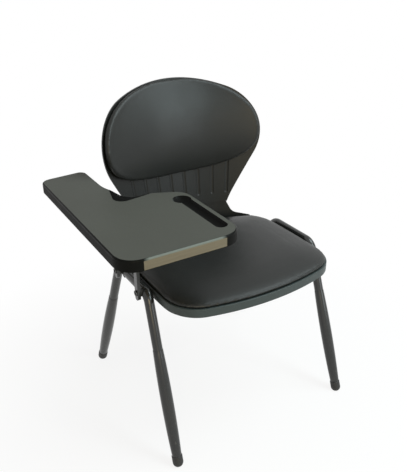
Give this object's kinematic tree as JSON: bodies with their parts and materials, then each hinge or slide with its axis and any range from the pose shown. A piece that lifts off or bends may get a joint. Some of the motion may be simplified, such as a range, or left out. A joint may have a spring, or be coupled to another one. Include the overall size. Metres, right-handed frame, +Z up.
{
  "type": "tablet arm chair",
  "caption": "Padded chair on splayed tube legs with a rounded back shell and, on the sitter's right, a writing tablet with a pencil groove that tips up on a side hinge.",
  "frame": {"origin": "middle of the bounding box on the floor; the seat's middle plane lies 54.92 mm to +X of it", "axes": "+Z up, -Y the way the sitter faces, +X to the sitter's left; the tablet is on the -X side"},
  "size_m": [0.6542, 0.5484, 0.83],
  "materials": {
    "frame_paint": "gloss",
    "foot_plastic": "satin",
    "shell_plastic": "satin",
    "pad_leatherette": "satin",
    "plywood": "matte",
    "screw_steel": "satin",
    "bumper_rubber": "matte",
    "tablet_plastic": "gloss",
    "edge_wood": "satin"
  },
  "bodies": {
    "chair": {"left_side_rail": "frame_paint", "right_side_rail": "frame_paint", "front_left_leg": "frame_paint", "front_right_leg": "frame_paint", "rear_left_leg": "frame_paint", "rear_right_leg": "frame_paint", "front_cross_tube": "frame_paint", "rear_cross_tube": "frame_paint", "front_left_seat_tab": "frame_paint", "front_right_seat_tab": "frame_paint", "rear_left_seat_tab": "frame_paint", "rear_right_seat_tab": "frame_paint", "left_back_strap": "frame_paint", "right_back_strap": "frame_paint", "front_arm_bracket": "frame_paint", "rear_arm_bracket": "frame_paint", "front_left_foot": "foot_plastic", "front_right_foot": "foot_plastic", "rear_left_foot": "foot_plastic", "rear_right_foot": "foot_plastic", "seat_shell": "shell_plastic", "back_shell": "shell_plastic", "seat_pad": "pad_leatherette", "back_pad": "pad_leatherette", "seat_board": "plywood", "back_board": "plywood", "seat_screws": "screw_steel", "strap_screws": "screw_steel", "neck_screws": "screw_steel", "arm_screws": "screw_steel", "arm_insert_nuts": "screw_steel", "hinge_rod": "screw_steel", "front_arm_saddle": "foot_plastic", "rear_arm_saddle": "foot_plastic", "front_rod_cap": "foot_plastic", "rear_rod_cap": "foot_plastic", "front_rest_bumper": "bumper_rubber", "rear_rest_bumper": "bumper_rubber"},
    "tablet": {"tablet_top": "tablet_plastic", "tablet_core": "plywood", "tablet_edge_strip": "edge_wood", "front_hinge_lug": "frame_paint", "rear_hinge_lug": "frame_paint", "lug_screws": "screw_steel"}
  },
  "joints": [
    {"name": "tablet_flip", "type": "hinge", "parent": "chair", "child": "tablet", "pos_m": [-0.29708, -0.00717, 0.589], "axis": [0, -1, 0], "range_deg": [0, 95]}
  ]
}
